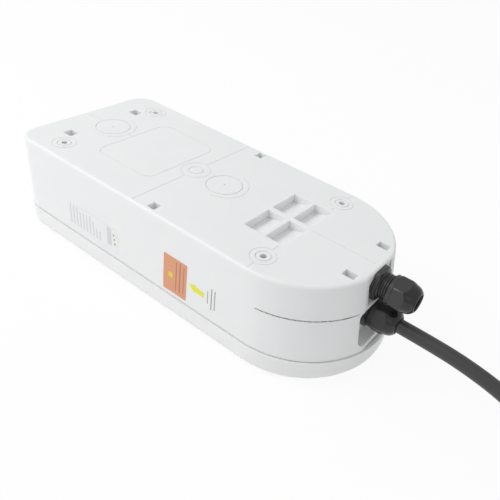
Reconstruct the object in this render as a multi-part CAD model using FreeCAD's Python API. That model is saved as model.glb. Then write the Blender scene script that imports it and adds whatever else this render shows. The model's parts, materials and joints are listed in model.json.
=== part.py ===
"""Wall charger for electric cars, seen as it lies on its front cover.

Frame: +Z is the outward normal of the back (the wall side), +X runs along the
long axis towards the round end with the cable glands, Z = 0 is the plane of
the front face. Millimetres.
"""
import FreeCAD, Part
import math
import os

V = FreeCAD.Vector
X, Y, Z = V(1, 0, 0), V(0, 1, 0), V(0, 0, 1)

# Overall form
COVER_LENGTH = 424.0
COVER_WIDTH = 186.0
TOTAL_DEPTH = 108.0
COVER_DEPTH = 27.0
CORNER_RADIUS = 27.0
RIM_STEP = 1.5
SEAL_THICKNESS = 1.2
SIDE_DRAFT = 4.5
FLAT_DRAFT = 1.5
END_SLOPE = 13.0
FACET_WIDTH = 48.0

# Walls and edges
HOUSING_WALL = 3.0
BACK_WALL = 3.5
BACK_EDGE_RADIUS = 3.0
EDGE_STEPS = 4
COVER_WALL = 3.0
COVER_EDGE_RADIUS = 12.0
FLOAT = 0.3

# Features of the back, distances along X from the flat end of the cover
TOP_SCREWS_AT = 52.0
LOW_SCREWS_AT = 324.0
SCREW_SPACING = 126.0
SCREW_HOLE = 6.5
SCREW_RING = 15.0
SCREW_PAD = 25.0
SCREW_BOSS = 14.0
SCREW_BOSS_HEIGHT = 8.0
KNOCKOUT_DIAMETER = 38.0
KNOCKOUT_PAD = 51.0
LOWER_KNOCKOUT_AT = 221.5
SMALL_KNOCKOUT_DIAMETER = 16.0
SMALL_KNOCKOUT_PAD = 31.0
MIDDLE_LINE_AT = 182.0
SCORE_WIDTH = 1.0
SCORE_DEPTH = 0.9
LINE_WIDTH = 0.7
LINE_DEPTH = 0.35
PANEL_FROM = 84.0
PANEL_TO = 163.5
PANEL_WIDTH = 98.0
PANEL_RADIUS = 12.0
POCKETS_AT = 304.0
POCKETS_ACROSS = 1.0
POCKET_LENGTH = 21.0
POCKET_WIDTH = 36.5
POCKET_WEB_X = 4.5
POCKET_WEB_Y = 6.0
POCKET_DEPTH = 9.0
POCKET_FLOOR_RISE = 5.0
POCKET_WALL = 2.2

# Hook slots of the back: distance along X, distance across, length along X, width
HOOK_SLOTS = [(37.5, 44.6, 12.0, 10.5), (204.5, 77.5, 9.0, 9.5), (392.0, 29.5, 12.0, 8.6)]
HOOK_SLOT_DEPTH = 8.0
HOOK_SLOT_WALL = 2.0

# Snap hooks of the cover, distances along X
SIDE_HOOKS_AT = (72.0, 180.0, 300.0)
FLAT_HOOKS_ACROSS = 34.0
HOOK_WIDTH = 12.0
HOOK_THICKNESS = 1.8
HOOK_SETBACK = 2.4
HOOK_HEIGHT = 15.0
HOOK_BARB = 1.4
HOOK_FOOT = 12.0
LEDGE_Z = 9.0
LEDGE_HEIGHT = 3.0

# Round end
RECESS_WIDTH = 58.0
RECESS_TOP = 73.0
RECESS_BOTTOM = 33.0
RECESS_SETBACK = 2.0
RECESS_RADIUS = 8.0
RECESS_ROOF = 2.0
SEAT_HALF = 19.5
SEAT_BOTTOM = 76.0
SUPPLY_GLAND_Z = 91.4
CABLE_GLAND_Z = 57.5

# Cable gland, metric thread of 25
GLAND_THREAD = 25.0
GLAND_ACROSS_FLATS = 30.0
GLAND_FLANGE = 6.0
GLAND_INNER_LENGTH = 12.0
GLAND_BARREL_LENGTH = 17.0
GLAND_BARREL = 24.4
GLAND_BORE = 19.0
NUT_ACROSS_FLATS = 29.0
NUT_SKIRT = 5.0
NUT_SKIRT_DIAMETER = 29.5
NUT_HEX = 13.0
NUT_DOME = 9.0
NUT_DOME_END = 20.0
NUT_OPENING = 16.0
NUT_RUN_TIGHT = 1.0
NUT_RUN_LOOSE = 9.0
LOCKNUT_ACROSS_FLATS = 28.5
LOCKNUT_HEIGHT = 5.0
CAGE_WALL = 1.3
CAGE_LENGTH = 17.0
SUPPLY_INSERT_BORE = 13.0

# Charging cable
CABLE_DIAMETER = 14.0
COIL_TURN_RADIUS = 83.0
COIL_CENTRE = (580.0, 0.0)
COIL_LAYERS = 3
TIE_WIDTH = 16.0
TIE_THICKNESS = 1.5
CORE_DIAMETER = 3.8
CORE_RING = 4.0

# Connector at the car end of the cable
BOOT_LENGTH = 50.0
GRIP_LENGTH = 140.0
NOSE_LENGTH = 50.0
NOSE_RADIUS = 31.5

# Electronics
BOARD_THICKNESS = 1.6
BOARD_DROP = 15.0
BOARD_FROM = 78.0
BOARD_TO = 306.0
BOARD_WIDTH = 132.0
STANDOFF = 7.0
BOARD_SCREW = 3.0
POLES = 5
POLE_PITCH = 11.5
TERMINALS_AT = 286.0
TERMINALS_ACROSS = 26.0
TAIL_LENGTH = 26.0

# Status light in the front
LIGHT_AT = 120.0
LIGHT_LENGTH = 40.0
LIGHT_WIDTH = 6.0

# Derived places
RIM_HALF = COVER_WIDTH / 2 - RIM_STEP
BACK_HALF = RIM_HALF - SIDE_DRAFT
RIM_Z = COVER_DEPTH + SEAL_THICKNESS
COVER_HALF = COVER_WIDTH / 2
RIM_FACET_FROM_FLAT = COVER_LENGTH - COVER_HALF + math.sqrt(RIM_HALF ** 2 - (FACET_WIDTH / 2) ** 2)
FACET_FROM_FLAT = RIM_FACET_FROM_FLAT - END_SLOPE
NUT_LENGTH = NUT_SKIRT + NUT_HEX + NUT_DOME
SUPPLY_REACH = GLAND_FLANGE + NUT_RUN_LOOSE + NUT_LENGTH
FLAT_X = -(FACET_FROM_FLAT + SUPPLY_REACH) / 2
FACET_X = FLAT_X + FACET_FROM_FLAT
END_CENTRE_X = FLAT_X + COVER_LENGTH - COVER_HALF
RECESS_X = FACET_X - RECESS_SETBACK
CABLE_EXIT_X = RECESS_X + GLAND_FLANGE + NUT_RUN_TIGHT + NUT_LENGTH
BACK_INNER = TOTAL_DEPTH - BACK_WALL
BOARD_Z = BACK_INNER - BOARD_DROP
BOARD_UNDER = BOARD_Z - BOARD_THICKNESS

# Centre lines of the cable outside the case
CABLE_ROUTE = [
    (CABLE_EXIT_X, 0, CABLE_GLAND_Z), (CABLE_EXIT_X + 60, 0, CABLE_GLAND_Z),
    (CABLE_EXIT_X + 130, 0, CABLE_GLAND_Z - 1), (CABLE_EXIT_X + 186, -22, 42),
    (CABLE_EXIT_X + 236, -60, 21), (CABLE_EXIT_X + 278, -86, 10.5),
    (COIL_CENTRE[0] - 48, COIL_CENTRE[1] - 97, 7.2), (COIL_CENTRE[0], COIL_CENTRE[1] - 97, 7.2)]
LEAD_ROUTE = [
    (COIL_CENTRE[0], COIL_CENTRE[1] - 97, 35.4), (COIL_CENTRE[0] + 40, COIL_CENTRE[1] - 97, 35),
    (COIL_CENTRE[0] + 75, COIL_CENTRE[1] - 93, 31.7), (COIL_CENTRE[0] + 113, COIL_CENTRE[1] - 86.4, 31.7)]


def cylinder(radius, height, base, axis=Z):
    return Part.makeCylinder(radius, height, base, axis)


def box(x0, x1, y0, y1, z0, z1):
    return Part.makeBox(x1 - x0, y1 - y0, z1 - z0, V(x0, y0, z0))


def fuse(shapes):
    first = shapes[0]
    return first.multiFuse(shapes[1:]).removeSplitter() if len(shapes) > 1 else first


def revolve(points, base, axis):
    """Turn a closed profile of (along, radius) points about an axis through base."""
    side = Z if abs(axis.dot(Z)) < 0.5 else X
    corners = [base + axis * along + side * radius for along, radius in points]
    face = Part.Face(Part.makePolygon(corners + corners[:1]))
    return face.revolve(base, axis, 360)


def hexagon(across_flats, start, end, y, z):
    """Hexagonal prism along X with two flats square to Z."""
    radius = across_flats / math.sqrt(3)
    corners = [V(start, y + radius * math.cos(math.radians(a)), z + radius * math.sin(math.radians(a)))
               for a in range(0, 361, 60)]
    return Part.Face(Part.makePolygon(corners)).extrude(V(end - start, 0, 0))


def outline(z, inset=0.0, level="cover"):
    """Plan outline of the case: flat end, two long sides and a half-round end.

    The housing draws in towards the back and its round end carries a flat facet.
    """
    if level == "cover":
        half, corner, flat, facet, centre = COVER_HALF, CORNER_RADIUS, FLAT_X, None, END_CENTRE_X
    else:
        rise = (z - RIM_Z) / (TOTAL_DEPTH - RIM_Z)
        half = RIM_HALF - SIDE_DRAFT * rise
        corner = CORNER_RADIUS - RIM_STEP - SIDE_DRAFT * rise
        flat = FLAT_X + RIM_STEP + FLAT_DRAFT * rise
        facet = FACET_X + END_SLOPE * (1 - rise)
        centre = facet - math.sqrt(half ** 2 - (FACET_WIDTH / 2) ** 2)
        facet -= inset
    half, flat = half - inset, flat + inset
    corner = max(corner - inset, 1.0)
    stop = 0.0 if facet is None else math.acos(min((facet - centre) / half, 1.0))

    def end(angle):
        return V(centre + half * math.cos(angle), half * math.sin(angle), z)

    def bend(cx, cy, angle):
        return V(cx + corner * math.cos(angle), cy + corner * math.sin(angle), z)

    quarter = math.pi / 2
    near, far = -half + corner, half - corner
    edges = [Part.LineSegment(V(flat + corner, -half, z), V(centre, -half, z)),
             Part.Arc(end(-quarter), end(-(quarter + stop) / 2), end(-stop)),
             Part.Arc(end(stop), end((quarter + stop) / 2), end(quarter)),
             Part.LineSegment(V(centre, half, z), V(flat + corner, half, z)),
             Part.Arc(bend(flat + corner, far, quarter), bend(flat + corner, far, 1.5 * quarter),
                      bend(flat + corner, far, 2 * quarter)),
             Part.LineSegment(V(flat, far, z), V(flat, near, z)),
             Part.Arc(bend(flat + corner, near, 2 * quarter), bend(flat + corner, near, 2.5 * quarter),
                      bend(flat + corner, near, 3 * quarter))]
    if facet is not None:
        edges.insert(2, Part.LineSegment(end(-stop), end(stop)))
    return Part.Wire([edge.toShape() for edge in edges])


def housing_form(z0, z1, inset=0.0):
    return Part.makeLoft([outline(z0, inset, "housing"), outline(z1, inset, "housing")], True, True)


def rounded_steps(radius):
    """Insets and heights of a quarter round, as (inset, rise) pairs."""
    angles = [math.radians(90 * step / EDGE_STEPS) for step in range(1, EDGE_STEPS + 1)]
    return [(radius * (1 - math.cos(a)), radius * math.sin(a)) for a in angles]


def housing_outside():
    """Drafted outside of the housing with its rounded back edge."""
    shoulder = TOTAL_DEPTH - BACK_EDGE_RADIUS
    wires = [outline(RIM_Z, 0, "housing"), outline(shoulder, 0, "housing")]
    wires += [outline(shoulder + rise, inset, "housing") for inset, rise in rounded_steps(BACK_EDGE_RADIUS)]
    return Part.makeLoft(wires, True, True)


def cover_form(z0, z1, inset=0.0):
    return Part.Face(outline(z0, inset)).extrude(V(0, 0, z1 - z0))


def cover_tray(z0, z1, inset, radius):
    """Cover form whose lower edge is rounded."""
    rounds = [outline(z0 + radius - rise, inset + step) for step, rise in rounded_steps(radius)]
    return Part.makeLoft(rounds[::-1] + [outline(z0 + radius, inset), outline(z1, inset)], True, True)


def hook_slots():
    """Six blind slots in the back as (x, y, length along X, width)."""
    return [(FLAT_X + along, side * across, length, width)
            for along, across, length, width in HOOK_SLOTS for side in (-1, 1)]


def snap_places():
    """Snap hooks of the cover: point of the rim's inner face and direction outwards."""
    wall = RIM_HALF - HOUSING_WALL
    flat = FLAT_X + RIM_STEP + HOUSING_WALL
    places = [(FLAT_X + along, side * wall, side * math.pi / 2)
              for along in SIDE_HOOKS_AT for side in (-1, 1)]
    return places + [(flat, side * FLAT_HOOKS_ACROSS, math.pi) for side in (-1, 1)]


def turned_box(place, radial0, radial1, across, z0, z1):
    """Box at a place on the rim: distances outwards from it, width across and heights."""
    x, y, angle = place
    shape = box(radial0, radial1, -across / 2, across / 2, z0, z1)
    shape.rotate(V(0, 0, 0), Z, math.degrees(angle))
    shape.translate(V(x, y, 0))
    return shape


def wall_screw_places():
    return [(FLAT_X + along, side * SCREW_SPACING / 2)
            for along in (TOP_SCREWS_AT, LOW_SCREWS_AT) for side in (-1, 1)]


def standoff_places():
    x0, x1 = FLAT_X + BOARD_FROM + 8, FLAT_X + BOARD_TO - 8
    y = BOARD_WIDTH / 2 - 7
    return [(x, side * y) for x in (x0, (x0 + x1) / 2, x1) for side in (-1, 1)]


def pocket_places():
    step_x = (POCKET_LENGTH + POCKET_WEB_X) / 2
    step_y = (POCKET_WIDTH + POCKET_WEB_Y) / 2
    return [(FLAT_X + POCKETS_AT + sx * step_x, POCKETS_ACROSS + sy * step_y)
            for sx in (-1, 1) for sy in (-1, 1)]


def pocket(x, y):
    """Pocket in the back whose floor rises from the flat end to the round end."""
    x0, x1 = x - POCKET_LENGTH / 2, x + POCKET_LENGTH / 2
    top, deep = TOTAL_DEPTH + 1, TOTAL_DEPTH - POCKET_DEPTH
    corners = [V(x0, 0, top), V(x0, 0, deep), V(x0 + 4, 0, deep), V(x1, 0, deep + POCKET_FLOOR_RISE),
               V(x1, 0, top)]
    face = Part.Face(Part.makePolygon(corners + corners[:1]))
    face.translate(V(0, y - POCKET_WIDTH / 2, 0))
    return face.extrude(V(0, POCKET_WIDTH, 0))


def pocket_backing():
    """Block behind the four pockets that keeps their floors and sides closed."""
    half_x = POCKET_LENGTH + POCKET_WEB_X / 2 + POCKET_WALL
    half_y = POCKET_WIDTH + POCKET_WEB_Y / 2 + POCKET_WALL
    x, y = FLAT_X + POCKETS_AT, POCKETS_ACROSS
    return box(x - half_x, x + half_x, y - half_y, y + half_y,
               TOTAL_DEPTH - POCKET_DEPTH - POCKET_WALL, TOTAL_DEPTH - 0.5)


def ring_groove(x, y, diameter, width, depth):
    outer = cylinder(diameter / 2, depth + 1, V(x, y, TOTAL_DEPTH - depth))
    return outer.cut(cylinder(diameter / 2 - width, depth + 1, V(x, y, TOTAL_DEPTH - depth)))


def panel_line():
    """Fine line round a rounded rectangle of the back."""
    def field(inset):
        x0, x1 = FLAT_X + PANEL_FROM + inset, FLAT_X + PANEL_TO - inset
        half = PANEL_WIDTH / 2 - inset
        block = box(x0, x1, -half, half, TOTAL_DEPTH - LINE_DEPTH, TOTAL_DEPTH + 1)
        corners = [edge for edge in block.Edges if edge.BoundBox.ZLength > 1]
        return block.makeFillet(PANEL_RADIUS - inset, corners)
    return field(0).cut(field(LINE_WIDTH))


def back_lines():
    """Fine lines, rings and scores moulded in the back face."""
    top = TOTAL_DEPTH + 1
    low = TOTAL_DEPTH - LINE_DEPTH
    half = LINE_WIDTH / 2
    knockout_x, lower_x = FLAT_X + TOP_SCREWS_AT, FLAT_X + LOWER_KNOCKOUT_AT
    middle = FLAT_X + MIDDLE_LINE_AT
    low_screws = FLAT_X + LOW_SCREWS_AT
    pad = SCREW_PAD / 2 - half
    y_end = BACK_HALF - BACK_EDGE_RADIUS
    pockets_end = FLAT_X + POCKETS_AT + POCKET_LENGTH + POCKET_WEB_X / 2
    spans = [(FLAT_X + 8, knockout_x - KNOCKOUT_DIAMETER / 2 + half),
             (knockout_x + KNOCKOUT_PAD / 2 - half, FLAT_X + PANEL_FROM + half),
             (pockets_end + 2, FACET_X - 6)]
    cuts = [box(x0, x1, -half, half, low, top) for x0, x1 in spans]
    backing = POCKET_WIDTH + POCKET_WEB_Y / 2 + 3
    inner = SMALL_KNOCKOUT_PAD / 2 - half
    spot = SCREW_SPACING / 2
    for side in (-1, 1):
        for x, y0, y1 in ((middle, inner, y_end), (low_screws, backing, spot - pad), (low_screws, spot + pad, y_end)):
            cuts.append(box(x - half, x + half, *sorted((side * y0, side * y1)), low, top))
    for x in (knockout_x, lower_x):
        cuts.append(ring_groove(x, 0, KNOCKOUT_DIAMETER, SCORE_WIDTH, SCORE_DEPTH))
        arc = ring_groove(x, 0, KNOCKOUT_PAD, LINE_WIDTH, LINE_DEPTH)
        cuts.append(arc.common(box(x + 4, x + KNOCKOUT_PAD, -KNOCKOUT_PAD, KNOCKOUT_PAD, low, top)))
        cuts.append(cylinder(1.0, 1 + SCORE_DEPTH, V(x, 0, TOTAL_DEPTH - SCORE_DEPTH)))
    cuts.append(ring_groove(middle, 0, SMALL_KNOCKOUT_DIAMETER, SCORE_WIDTH, SCORE_DEPTH))
    cuts.append(ring_groove(middle, 0, SMALL_KNOCKOUT_PAD, LINE_WIDTH, LINE_DEPTH))
    for x, y in wall_screw_places():
        cuts.append(ring_groove(x, y, SCREW_PAD, LINE_WIDTH, LINE_DEPTH))
        cuts.append(ring_groove(x, y, SCREW_RING, SCORE_WIDTH, SCORE_DEPTH))
    cuts.append(panel_line())
    return cuts


def recess_form(grow=0.0, roof=0.0):
    """Rounded pocket in the round end for the lower gland."""
    half = RECESS_WIDTH / 2 + grow
    shape = box(RECESS_X - grow, FACET_X + 40, -half, half, RECESS_BOTTOM - grow, RECESS_TOP + roof)
    edges = [edge for edge in shape.Edges
             if abs(edge.BoundBox.XMax - edge.BoundBox.XMin) > 30]
    return shape.makeFillet(RECESS_RADIUS + grow, edges)


def parting_line(outer_z):
    """Fine step round the round end, level with the top of the recess and broken by it."""
    low, high = outer_z - LINE_WIDTH / 2, outer_z + LINE_WIDTH / 2
    band = housing_form(low, high).cut(housing_form(low, high, LINE_DEPTH))
    clear = RECESS_WIDTH / 2 + 1.0
    sides = [box(END_CENTRE_X + 8, FACET_X + END_SLOPE, *sorted((side * clear, side * RIM_HALF)), low, high)
             for side in (-1, 1)]
    return band.common(fuse(sides))


def inner_ribs():
    """Stiffening ribs inside the long walls."""
    rib_x = FLAT_X + MIDDLE_LINE_AT
    return [box(x, x + 2, *sorted((side * 78, side * RIM_HALF)), RIM_Z + 16, BACK_INNER + 1)
            for x in (rib_x - 50, rib_x + 68) for side in (-1, 1)]


def rear_housing():
    """Deep moulded shell: the back, the drafted walls and everything moulded inside it."""
    outer = housing_outside()
    cavity = housing_form(RIM_Z - 1, BACK_INNER, HOUSING_WALL)
    keep = [pocket_backing(), recess_form(HOUSING_WALL, RECESS_ROOF)]
    keep.append(box(FACET_X - HOUSING_WALL, FACET_X + 20, -SEAT_HALF - 2, SEAT_HALF + 2,
                    RECESS_TOP + 0.5, BACK_INNER + 1))
    for x, y, length, width in hook_slots():
        keep.append(box(x - length / 2 - HOOK_SLOT_WALL, x + length / 2 + HOOK_SLOT_WALL,
                        y - width / 2 - HOOK_SLOT_WALL, y + width / 2 + HOOK_SLOT_WALL,
                        TOTAL_DEPTH - HOOK_SLOT_DEPTH - HOOK_SLOT_WALL, BACK_INNER + 1))
    for place in snap_places():
        keep.append(turned_box(place, -HOOK_SETBACK + FLOAT, 4, HOOK_WIDTH + 4,
                               RIM_Z + LEDGE_Z, RIM_Z + LEDGE_Z + LEDGE_HEIGHT))
    for x, y in wall_screw_places():
        keep.append(cylinder(SCREW_BOSS / 2, SCREW_BOSS_HEIGHT + 1, V(x, y, BACK_INNER - SCREW_BOSS_HEIGHT)))
    for x, y in standoff_places():
        keep.append(cylinder(STANDOFF / 2, BOARD_DROP + 1, V(x, y, BOARD_Z)))
    shape = outer.cut(cavity.cut(fuse(keep + inner_ribs())))
    cuts = [recess_form()]
    cuts.append(box(FACET_X, FACET_X + 40, -SEAT_HALF, SEAT_HALF, SEAT_BOTTOM, TOTAL_DEPTH + 1))
    cuts.append(box(FACET_X - HOUSING_WALL - LOCKNUT_HEIGHT - 1, FACET_X - HOUSING_WALL, -10, 10,
                    BACK_INNER - 1, SUPPLY_GLAND_Z + LOCKNUT_ACROSS_FLATS / 2 + FLOAT))
    for x, y, length, width in hook_slots():
        cuts.append(box(x - length / 2, x + length / 2, y - width / 2, y + width / 2,
                        TOTAL_DEPTH - HOOK_SLOT_DEPTH, TOTAL_DEPTH + 1))
    for x, y in wall_screw_places():
        cuts.append(cylinder(SCREW_HOLE / 2, 40, V(x, y, TOTAL_DEPTH - 39)))
    for x, y in standoff_places():
        cuts.append(cylinder(BOARD_SCREW / 2, BOARD_DROP - 2, V(x, y, BOARD_Z - 0.01)))
    for x, y in pocket_places():
        cuts.append(pocket(x, y))
    cuts.append(cylinder(GLAND_THREAD / 2 + FLOAT, 30, V(FACET_X - 20, 0, SUPPLY_GLAND_Z), X))
    cuts.append(cylinder(GLAND_THREAD / 2 + FLOAT, 30, V(RECESS_X - 20, 0, CABLE_GLAND_Z), X))
    cuts.append(parting_line(RECESS_TOP))
    return shape.cut(cuts + back_lines())


def front_cover():
    """Tray-shaped front with a rounded edge and eight snap hooks."""
    outer = cover_tray(0, COVER_DEPTH, 0, COVER_EDGE_RADIUS)
    cavity = cover_tray(COVER_WALL, COVER_DEPTH + 1, COVER_WALL, COVER_EDGE_RADIUS - COVER_WALL)
    hooks = []
    for place in snap_places():
        face = -HOOK_SETBACK
        catch = RIM_Z + LEDGE_Z + LEDGE_HEIGHT + FLOAT
        hooks.append(turned_box(place, face - HOOK_THICKNESS, face, HOOK_WIDTH, COVER_DEPTH - HOOK_FOOT,
                                RIM_Z + HOOK_HEIGHT))
        hooks.append(turned_box(place, face - HOOK_THICKNESS, HOUSING_WALL, HOOK_WIDTH,
                                COVER_DEPTH - HOOK_FOOT, COVER_DEPTH - 1))
        hooks.append(turned_box(place, face - 0.1, face + HOOK_BARB, HOOK_WIDTH, catch, catch + 2.4))
    return fuse([outer.cut(cavity)] + hooks).cut(light_bar(0.1, -1, COVER_WALL + 1))


def housing_seal():
    """Flat gasket between housing and cover, all round the rim."""
    outer = cover_form(COVER_DEPTH, RIM_Z, RIM_STEP + 0.8)
    return outer.cut(cover_form(COVER_DEPTH - 1, RIM_Z + 1, RIM_STEP + HOUSING_WALL - 0.3))


def gland_set(prefix, wall_x, z, nut_run, insert_bore):
    """The six pieces of one plastic cable gland on a wall whose outer face is at wall_x."""
    base = V(wall_x, 0, z)
    inner = HOUSING_WALL + GLAND_INNER_LENGTH
    barrel_end = GLAND_FLANGE + GLAND_BARREL_LENGTH
    thread, barrel, bore = GLAND_THREAD / 2, GLAND_BARREL / 2, GLAND_BORE / 2
    body = revolve([(-inner, bore - 1), (-inner, thread - 1), (-inner + 1, thread), (0, thread),
                    (barrel_end - 1, thread - 0.5), (barrel_end - 1, barrel), (barrel_end, barrel - 1),
                    (barrel_end, bore), (GLAND_FLANGE, bore), (GLAND_FLANGE - 2, bore - 1)], base, X)
    round_off = revolve([(0, 0), (0, GLAND_ACROSS_FLATS / 2 + 2), (GLAND_FLANGE - 1, GLAND_ACROSS_FLATS / 2 + 2),
                         (GLAND_FLANGE, GLAND_ACROSS_FLATS / 2), (GLAND_FLANGE, 0)], base, X)
    flange = hexagon(GLAND_ACROSS_FLATS, wall_x, wall_x + GLAND_FLANGE, 0, z).common(round_off)
    flange = flange.cut(cylinder(thread - 1, GLAND_FLANGE + 2, base - X, X))
    body = fuse([body, flange])

    lock_x = wall_x - HOUSING_WALL - LOCKNUT_HEIGHT
    locknut = hexagon(LOCKNUT_ACROSS_FLATS, lock_x, lock_x + LOCKNUT_HEIGHT, 0, z)
    locknut = locknut.cut(cylinder(thread + FLOAT / 2, LOCKNUT_HEIGHT + 2, V(lock_x - 1, 0, z), X))

    start = GLAND_FLANGE + nut_run
    skirt, dome_start = start + NUT_SKIRT, start + NUT_SKIRT + NUT_HEX
    end = dome_start + NUT_DOME
    flat = NUT_ACROSS_FLATS / 2
    envelope = revolve([(skirt, 0), (skirt, flat + 1.2), (dome_start - 1, flat + 1.2),
                        (dome_start + 0.4, flat - 0.6), (dome_start + 0.4, 0)], base, X)
    hex_part = hexagon(NUT_ACROSS_FLATS, wall_x + skirt, wall_x + dome_start + 0.4, 0, z).common(envelope)
    tip = NUT_DOME_END / 2
    dome = revolve([(start, 0), (start, NUT_SKIRT_DIAMETER / 2 - 0.8), (start + 0.8, NUT_SKIRT_DIAMETER / 2),
                    (skirt, NUT_SKIRT_DIAMETER / 2), (skirt, flat - 0.3), (dome_start, flat - 0.6),
                    (dome_start + NUT_DOME * 0.35, flat - 1.0), (dome_start + NUT_DOME * 0.65, flat - 2.4),
                    (dome_start + NUT_DOME * 0.88, tip + 0.6), (end, tip - 0.6), (end, 0)], base, X)
    socket = thread + FLOAT
    opening = NUT_OPENING / 2
    hollow = revolve([(start - 1, 0), (start - 1, socket), (dome_start - 2, socket),
                      (end - 2.5, opening), (end + 1, opening), (end + 1, 0)], base, X)
    nut = fuse([hex_part, dome]).cut(hollow)

    cage_start = barrel_end - CAGE_LENGTH + 5
    cage_outer = bore - 0.2
    cage = revolve([(cage_start, cage_outer - CAGE_WALL), (cage_start, cage_outer),
                    (cage_start + CAGE_LENGTH, cage_outer), (cage_start + CAGE_LENGTH, cage_outer - CAGE_WALL)],
                   base, X)
    gaps = []
    for turn in range(4):
        gap = box(wall_x + barrel_end - 4, wall_x + barrel_end + 10, -bore - 2, bore + 2, z - 0.6, z + 0.6)
        gap.rotate(base, X, 45 * turn)
        gaps.append(gap)
    cage = cage.cut(gaps)

    insert_outer = cage_outer - CAGE_WALL - 0.1
    insert = revolve([(cage_start, insert_bore / 2), (cage_start, insert_outer),
                      (cage_start + CAGE_LENGTH - 1, insert_outer),
                      (cage_start + CAGE_LENGTH - 1, insert_bore / 2)], base, X)
    return {prefix + "_body": body, prefix + "_locknut": locknut, prefix + "_cap_nut": nut,
            prefix + "_claw_cage": cage, prefix + "_seal_insert": insert}


def route_tube(points, radius):
    """Tube along straight runs joined by tangent arcs, one at each inner point."""
    points = [V(*point) for point in points]
    edges, at = [], points[0]
    radii = []
    for before, corner, after in zip(points, points[1:], points[2:]):
        into, out = (corner - before), (after - corner)
        run = min(into.Length, out.Length)
        half_turn = into.getAngle(out) / 2
        bend = 0.45 * run / math.tan(half_turn)
        radii.append(round(bend))
        into.normalize()
        out.normalize()
        cut = 0.45 * run
        start, stop = corner - into * cut, corner + out * cut
        middle_way = (out - into)
        middle_way.normalize()
        centre = corner + middle_way * (bend / math.cos(half_turn))
        mid = centre - middle_way * bend
        edges.append(Part.LineSegment(at, start).toShape())
        edges.append(Part.Arc(start, mid, stop).toShape())
        at = stop
    edges.append(Part.LineSegment(at, points[-1]).toShape())
    path = Part.Wire(edges)
    first = points[1] - points[0]
    circle = Part.Wire([Part.makeCircle(radius, points[0], first)])
    tube = path.makePipeShell([circle], True, False)
    length = path.Length
    print("route", round(length), "radii", radii, "volume ratio",
          round(tube.Volume / (math.pi * radius ** 2 * length), 4))
    return tube


def cable_coil():
    """Outer form of the wound cable: a ring with a rounded square section."""
    half = COIL_LAYERS * CABLE_DIAMETER / 2
    section = box(COIL_TURN_RADIUS - half, COIL_TURN_RADIUS + half, -0.5, 0.5, 0, 2 * half)
    section = section.makeFillet(CABLE_DIAMETER / 2 - 0.1,
                                 [e for e in section.Edges if e.BoundBox.YMax - e.BoundBox.YMin > 0.9])
    face = [f for f in section.Faces if f.BoundBox.YMax < -0.49][0]
    ring = face.revolve(V(0, 0, 0), Z, 360)
    ring.translate(V(COIL_CENTRE[0], COIL_CENTRE[1], 0))
    return ring


def coil_tie():
    """Flat strap closed round the wound turns."""
    half = COIL_LAYERS * CABLE_DIAMETER / 2
    x, y = COIL_CENTRE
    outer = box(x - TIE_WIDTH / 2, x + TIE_WIDTH / 2, y + COIL_TURN_RADIUS - half - TIE_THICKNESS - 1,
                y + COIL_TURN_RADIUS + half + TIE_THICKNESS, 0, 2 * half + TIE_THICKNESS + 0.2)
    hollow = box(x - TIE_WIDTH, x + TIE_WIDTH, y + COIL_TURN_RADIUS - half - 1,
                 y + COIL_TURN_RADIUS + half, -1, 2 * half + 0.2)
    return outer.cut(hollow)


def connector_frame(shape):
    """Put a piece drawn along +X at the origin on the end of the cable lead, in line with it."""
    before, end = LEAD_ROUTE[-2:]
    heading = math.degrees(math.atan2(end[1] - before[1], end[0] - before[0]))
    shape.rotate(V(0, 0, 0), Z, heading)
    shape.translate(V(*end))
    return shape


def oval(x, half_y, half_z, drop=0.0):
    ellipse = Part.Ellipse(V(x, 0, drop), max(half_y, half_z) + 1e-3, min(half_y, half_z))
    shape = Part.Wire([ellipse.toShape()])
    shape.rotate(V(x, 0, drop), Y, 90)
    if half_y > half_z:
        shape.rotate(V(x, 0, drop), X, 90)
    return shape


def connector_pieces():
    """Vehicle connector: grip shell, round nose, insulator face, seven contacts and boot."""
    snug = CABLE_DIAMETER / 2 + 0.1
    boot = revolve([(0, snug), (0, 9.5), (BOOT_LENGTH, 14), (BOOT_LENGTH, snug)], V(0, 0, 0), X)
    start = BOOT_LENGTH
    sections = [(0, 16, 17, 0), (35, 19, 21, 1), (80, 18, 20, 2), (115, 22, 24, 1), (GRIP_LENGTH, 29, 29, 0)]
    grip = Part.makeLoft([oval(start + along, *rest) for along, *rest in sections], True, False)
    nose_start = start + GRIP_LENGTH
    nose_end = nose_start + NOSE_LENGTH
    lip, inside, base = NOSE_RADIUS - 2, NOSE_RADIUS - 5, nose_start + 6
    nose = revolve([(nose_start, 0), (nose_start, NOSE_RADIUS - 0.5), (nose_start + 3, NOSE_RADIUS),
                    (nose_end, lip), (nose_end, inside), (base, inside), (base, 0)], V(0, 0, 0), X)
    face = cylinder(NOSE_RADIUS - 8, NOSE_LENGTH - 10, V(base, 0, 0), X)
    power, signal = 4.2, 2.6
    holes = [(0, 0, power), (14, 6, power), (-14, 6, power), (9, -12, power), (-9, -12, power),
             (-8, 16, signal), (8, 16, signal)]
    pins = []
    for y, z, radius in holes:
        face = face.cut(cylinder(radius, 30, V(nose_end - 14, y, z), X))
        outer = cylinder(radius - 0.6, 9, V(nose_end - 14, y, z), X)
        pins.append(outer.cut(cylinder(radius - 1.5, 30, V(nose_end - 12, y, z), X)))
    pieces = {"connector_boot": boot, "connector_grip": grip, "connector_nose": nose,
              "connector_insulator": face, "connector_contacts": Part.makeCompound(pins)}
    return {name: connector_frame(shape) for name, shape in pieces.items()}


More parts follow.
